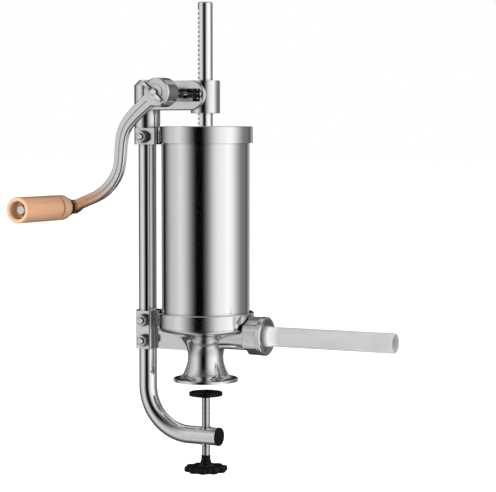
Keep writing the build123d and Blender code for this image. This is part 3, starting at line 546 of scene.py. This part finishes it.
# knob: rounded lobes, stepped neck, blind bore for the screw
base, neck = span("clamp_knob", "Z")
knob = [(base, lobed(2.6)), (base + 0.3, lobed(1.3)), (base + 0.9, lobed(0.5)), (base + 2.0, lobed(0.05))]
knob += [(base + 4.6, lobed(0.05)), (base + 5.8, lobed(0.4)), (base + 6.6, lobed(1.2))]
knob += [(base + 7.0, lobed(2.6)), (base + 7.0, 12.0), (base + 7.2, 10.2), (base + 7.7, 8.6)]
knob += [(base + 8.5, 7.3), (base + 12.4, 6.6), (base + 13.4, 6.4), (base + 14.2, 5.8)]
knob += [(base + 15.0, 5.6), (neck - 0.4, 5.6), (neck, 5.3)]
knob += [(neck, M10_R + 0.02), (base + 1.98, M10_R + 0.02)]
turned("clamp_knob", "screw", [("Z", middle("clamp_knob", "Z"), knob)], count=120)

# wooden grip: rounded ends, groove near the ferrule, counterbore for the bolt head
GRIP_BORE_R = 4.05
HEAD_HOLE_R = 10
HEAD_HOLE_DEPTH = 13
OUTER_ROUND = 2.6
GROOVE_DEPTH = 2.0
GROOVE_WIDTH = 1.5
GROOVE_REACH = 4.0
INNER_ROUND = 9.0
INNER_DROP = 4.0
outer, inner = span("grip", "Y")
wall = (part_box("grip")[1][0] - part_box("grip")[0][0]) / 2 / MM
grip_rings = [(outer + HEAD_HOLE_DEPTH, GRIP_BORE_R), (outer + HEAD_HOLE_DEPTH, HEAD_HOLE_R)]
grip_rings += [(outer + 2.2, HEAD_HOLE_R), (outer + 0.3, HEAD_HOLE_R + 1.2), (outer, HEAD_HOLE_R + 1.8)]
for step in range(7):
    bend = math.pi / 2 * step / 6
    grip_rings.append((outer + OUTER_ROUND * (1 - math.cos(bend)), wall - OUTER_ROUND * (1 - math.sin(bend))))
for step in range(21):
    shift = -GROOVE_REACH + 2 * GROOVE_REACH * step / 20
    dip = GROOVE_DEPTH * math.exp(-((shift / GROOVE_WIDTH) ** 2))
    grip_rings.append((inner - GROOVE_FROM_END + shift, wall - dip))
for step in range(9):
    bend = math.pi / 2 * step / 8
    drop = INNER_DROP * (1 - math.cos(bend))
    grip_rings.append((inner - INNER_ROUND + INNER_ROUND * math.sin(bend), wall - drop))
grip_rings.append((inner, GRIP_BORE_R))
turned("grip", "grip", [("Y", middle("grip", "Y"), grip_rings)], joined=True)

# stuffing tube: flange, tapered root, rounded lip
TUBE_R = 11.75
TUBE_BORE_R = 10.35
TUBE_ROOT_R = 12.6
FLANGE_R = 17.4
FLANGE_THICK = 2.45
flange, tip = span("stuffing_tube", "X")
tube = [(flange, 11.2), (flange, FLANGE_R - 0.2), (flange + 0.2, FLANGE_R), (flange + 2.25, FLANGE_R)]
tube += [(flange + FLANGE_THICK, FLANGE_R - 0.2), (flange + FLANGE_THICK, TUBE_ROOT_R + 0.6)]
tube += [(flange + 2.8, TUBE_ROOT_R + 0.1), (flange + 3.4, TUBE_ROOT_R), (flange + 5.9, TUBE_ROOT_R)]
tube += [(flange + 7.5, 12.45), (flange + 10, 12.05), (flange + 12, 11.85), (flange + 14.5, TUBE_R)]
tube += [(tip - 0.7, TUBE_R), (tip - 0.3, 11.65), (tip - 0.08, 11.4), (tip, 11.05)]
tube += [(tip - 0.08, 10.7), (tip - 0.3, 10.45), (tip - 0.7, TUBE_BORE_R), (flange + 6, TUBE_BORE_R)]
turned("stuffing_tube", "tube", [("X", middle("stuffing_tube", "X"), tube)], joined=True)


# ------------------------------------------------------------------ world, lights, floor, camera
# Upright strip lights round the machine, seen only in reflections:
# degrees to the right of the camera, half width in degrees, brightness.
STRIPS = (
    (-158, 20, 0.2),
    (-108, 30, 0.4),
    (-70, 48, 0.8),
    (22, 32, 0.45),
    (60, 56, 1.13),
    (118, 34, 0.2),
    (155, 22, 0.42),
)


def strip_lights(tree, bearing):
    """Brightness at a bearing in radians, from all the strips; each fades smoothly to its sides."""
    total = 0.0
    for centre, half, brightness in STRIPS:
        aside = maths(tree, "ABSOLUTE", maths(tree, "SUBTRACT", bearing, math.radians(centre)))
        strip = remap(tree, aside, 0.0, math.radians(half), brightness, 0.0)
        strip.node.interpolation_type = "SMOOTHSTEP"
        total = maths(tree, "ADD", total, strip)
    return total


def build_world():
    """White to the camera, strip lights and a soft ceiling in the reflections, even light elsewhere."""
    world = bpy.data.worlds.new("studio")
    bpy.context.scene.world = world
    world.use_nodes = True
    tree = world.node_tree
    tree.nodes.clear()
    source = tree.nodes.new("ShaderNodeTexCoord")

    def along(direction):
        """How far a ray points in a direction, from -1 to 1."""
        dot = add(tree, "ShaderNodeVectorMath", operation="DOT_PRODUCT")
        tree.links.new(source.outputs["Generated"], dot.inputs[0])
        dot.inputs[1].default_value = direction
        return dot.outputs["Value"]

    toward = along((math.sin(AZIMUTH), -math.cos(AZIMUTH), 0))
    right = along((math.cos(AZIMUTH), math.sin(AZIMUTH), 0))
    up = along((0, 0, 1))
    strips = strip_lights(tree, maths(tree, "ARCTAN2", right, toward))
    # the ceiling is bright behind the machine and dim above the camera
    overhead = mixed(tree, remap(tree, toward, 0.3, -0.3, 0.0, 1.0), (0.144,) * 3, (0.744,) * 3)
    ceiling = mixed(tree, remap(tree, up, 0.5, 0.9, 0.0, 1.0), strips, overhead)
    # the ground is dark, most of all behind the machine
    behind = remap(tree, toward, 0.1, -0.4, 0.25, 1.0)
    below = remap(tree, up, -0.12, -0.5, 0.0, 1.0)
    room = mixed(tree, maths(tree, "MULTIPLY", behind, below), ceiling, (0.07,) * 3)
    seen = add(tree, "ShaderNodeBackground", Color=(1, 1, 1, 1), Strength=1.0)
    reflected = add(tree, "ShaderNodeBackground", Strength=1.0)
    tree.links.new(room, reflected.inputs["Color"])
    soft = add(tree, "ShaderNodeBackground", Color=(1, 1, 1, 1), Strength=0.8)
    path = tree.nodes.new("ShaderNodeLightPath")

    def chosen(ray, other, special):
        """The special background for one kind of ray, the other one for the rest."""
        choice = tree.nodes.new("ShaderNodeMixShader")
        tree.links.new(path.outputs[ray], choice.inputs[0])
        tree.links.new(other.outputs[0], choice.inputs[1])
        tree.links.new(special.outputs[0], choice.inputs[2])
        return choice

    final = chosen("Is Camera Ray", chosen("Is Glossy Ray", soft, reflected), seen)
    out = tree.nodes.new("ShaderNodeOutputWorld")
    tree.links.new(final.outputs[0], out.inputs[0])


AIM_HEIGHT = 0.15


def area_light(name, angle, height, distance, size, power):
    """Soft box at an angle to the right of the camera, aimed at the machine, not seen in reflections."""
    data = bpy.data.lights.new(name, "AREA")
    data.shape = "SQUARE"
    data.size = size
    data.energy = power
    light = bpy.data.objects.new(name, data)
    turn = AZIMUTH + math.radians(angle)
    light.location = (math.sin(turn) * distance, -math.cos(turn) * distance, height)
    aim = Vector((0, 0, AIM_HEIGHT)) - light.location
    light.rotation_euler = aim.to_track_quat("-Z", "Y").to_euler()
    light.visible_glossy = False
    bpy.context.scene.collection.objects.link(light)
    return light


FLOOR_HALF = 30
FLOOR_DROP = 0.04


def build_floor():
    """Pale floor, below the clamp knob at its lowest."""
    mesh = bmesh.new()
    bmesh.ops.create_grid(mesh, x_segments=1, y_segments=1, size=FLOOR_HALF)
    data = bpy.data.meshes.new("floor")
    mesh.to_mesh(data)
    mesh.free()
    obj = bpy.data.objects.new("floor", data)
    obj.location = (0, 0, cad_low[2] - FLOOR_DROP)
    obj.visible_glossy = False
    bpy.context.scene.collection.objects.link(obj)
    mat, tree, shader = new_material("pale_floor")
    shader.inputs["Base Color"].default_value = (0.97, 0.97, 0.97, 1)
    shader.inputs["Roughness"].default_value = 0.9
    shader.inputs["Specular IOR Level"].default_value = 0.0
    shader.inputs["Emission Color"].default_value = (1, 1, 1, 1)
    shader.inputs["Emission Strength"].default_value = 0.3
    obj.data.materials.append(mat)
    return obj


CAMERA_RANGE = 2.16
CAMERA_BEARING = math.radians(27.85)
CAMERA_HEIGHT = 0.296
CAMERA_HEADING = math.radians(26.48)
CAMERA_PITCH = math.radians(3.47)
CAMERA_LENS = 128.9


def build_camera():
    """Long lens, in front of the crank side and to its right, looking slightly down."""
    data = bpy.data.cameras.new("camera")
    data.sensor_width = 36.0
    data.lens = CAMERA_LENS
    obj = bpy.data.objects.new("camera", data)
    obj.location = (
        math.sin(CAMERA_BEARING) * CAMERA_RANGE,
        -math.cos(CAMERA_BEARING) * CAMERA_RANGE,
        CAMERA_HEIGHT,
    )
    obj.rotation_euler = (math.pi / 2 - CAMERA_PITCH, 0, CAMERA_HEADING)
    bpy.context.scene.collection.objects.link(obj)
    bpy.context.scene.camera = obj


build_world()
key = area_light("key_light", angle=55, height=1.6, distance=1.6, size=1.0, power=22)
fill = area_light("fill_light", angle=-60, height=1.1, distance=1.8, size=1.2, power=12)
build_floor()
build_camera()
bpy.context.scene.view_settings.view_transform = "Standard"
bpy.context.scene.view_settings.look = "None"

# the crank and the clamp screw stand clear of the body's reflections
for node in ("crank_arm", "grip_ferrule", "grip_bolt", "wing_screw", "crank_washer", "clamp_pad", "pad_clip"):
    NODES[node].visible_glossy = False
for node in ("grip", "grip_nut", "clamp_screw", "clamp_knob"):
    bpy.data.objects["turned_" + node].visible_glossy = False
